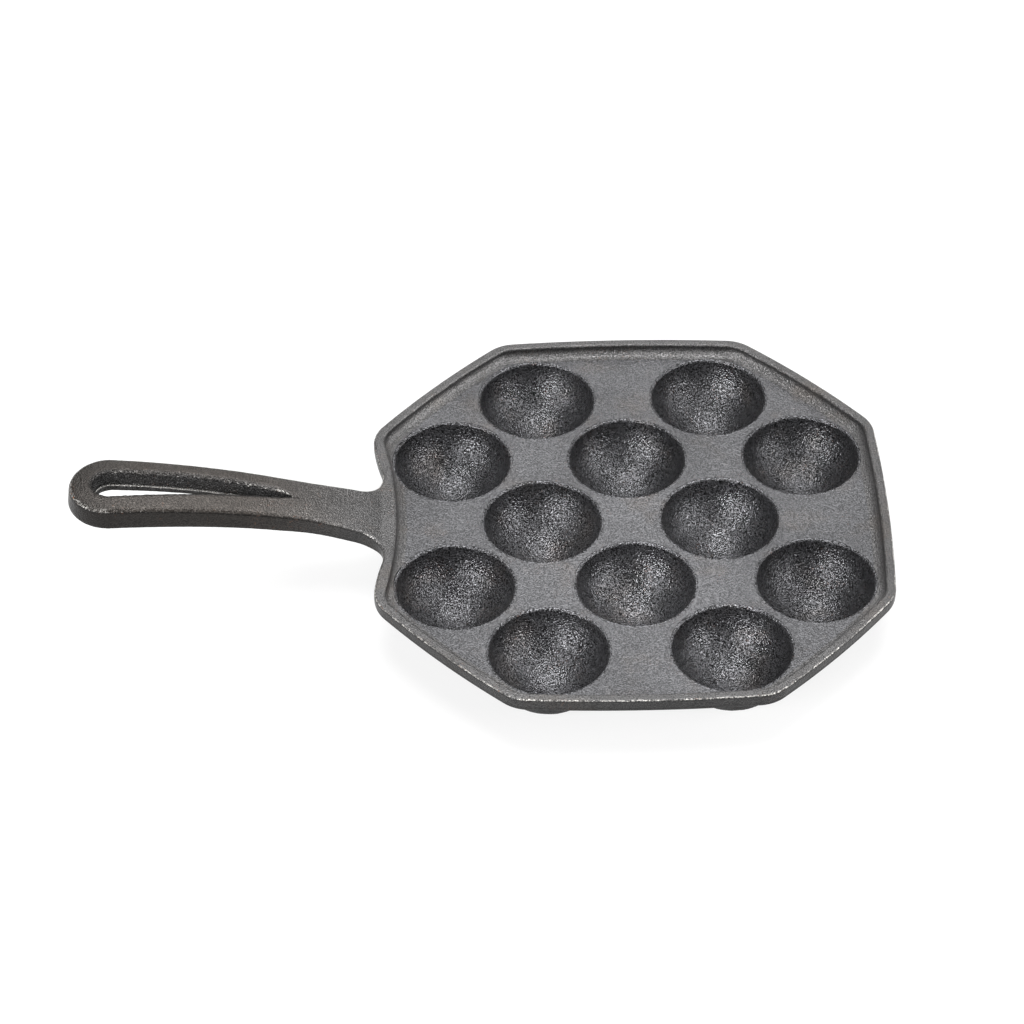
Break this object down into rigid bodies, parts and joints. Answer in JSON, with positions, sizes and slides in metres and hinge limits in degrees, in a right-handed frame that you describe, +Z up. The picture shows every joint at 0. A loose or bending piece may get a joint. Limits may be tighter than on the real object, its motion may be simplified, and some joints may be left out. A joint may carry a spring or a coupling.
{
  "type": "takoyaki maker",
  "caption": "Cast-iron takoyaki pan: octagonal plate with round-bottomed batter cups inside a raised rim, and an upswept flat handle with a long hanging slot.",
  "frame": {"origin": "on the surface that the pan stands on, under the middle of its overall length and width", "axes": "+X from the handle's tip towards the plate's far end, +Y to the back side, +Z up"},
  "size_m": [0.2891, 0.188, 0.0423],
  "materials": {
    "pan_iron": "satin grey cast iron with a fine sandy grain, coarser in the cups",
    "handle_iron": "dull cast iron with a brownish bloom and specks of rust"
  },
  "bodies": {
    "root": {"deck_plate": "pan_iron", "well_cup_01": "pan_iron", "well_cup_02": "pan_iron", "well_cup_03": "pan_iron", "well_cup_04": "pan_iron", "well_cup_05": "pan_iron", "well_cup_06": "pan_iron", "well_cup_07": "pan_iron", "well_cup_08": "pan_iron", "well_cup_09": "pan_iron", "well_cup_10": "pan_iron", "well_cup_11": "pan_iron", "well_cup_12": "pan_iron", "rim_end": "pan_iron", "rim_handle_side": "pan_iron", "rim_right_back": "pan_iron", "rim_right_front": "pan_iron", "rim_long_back": "pan_iron", "rim_long_front": "pan_iron", "rim_left_back": "pan_iron", "rim_left_front": "pan_iron", "handle_root": "handle_iron", "handle_rail_back": "handle_iron", "handle_rail_front": "handle_iron", "handle_loop_end": "handle_iron"}
  },
  "joints": []
}
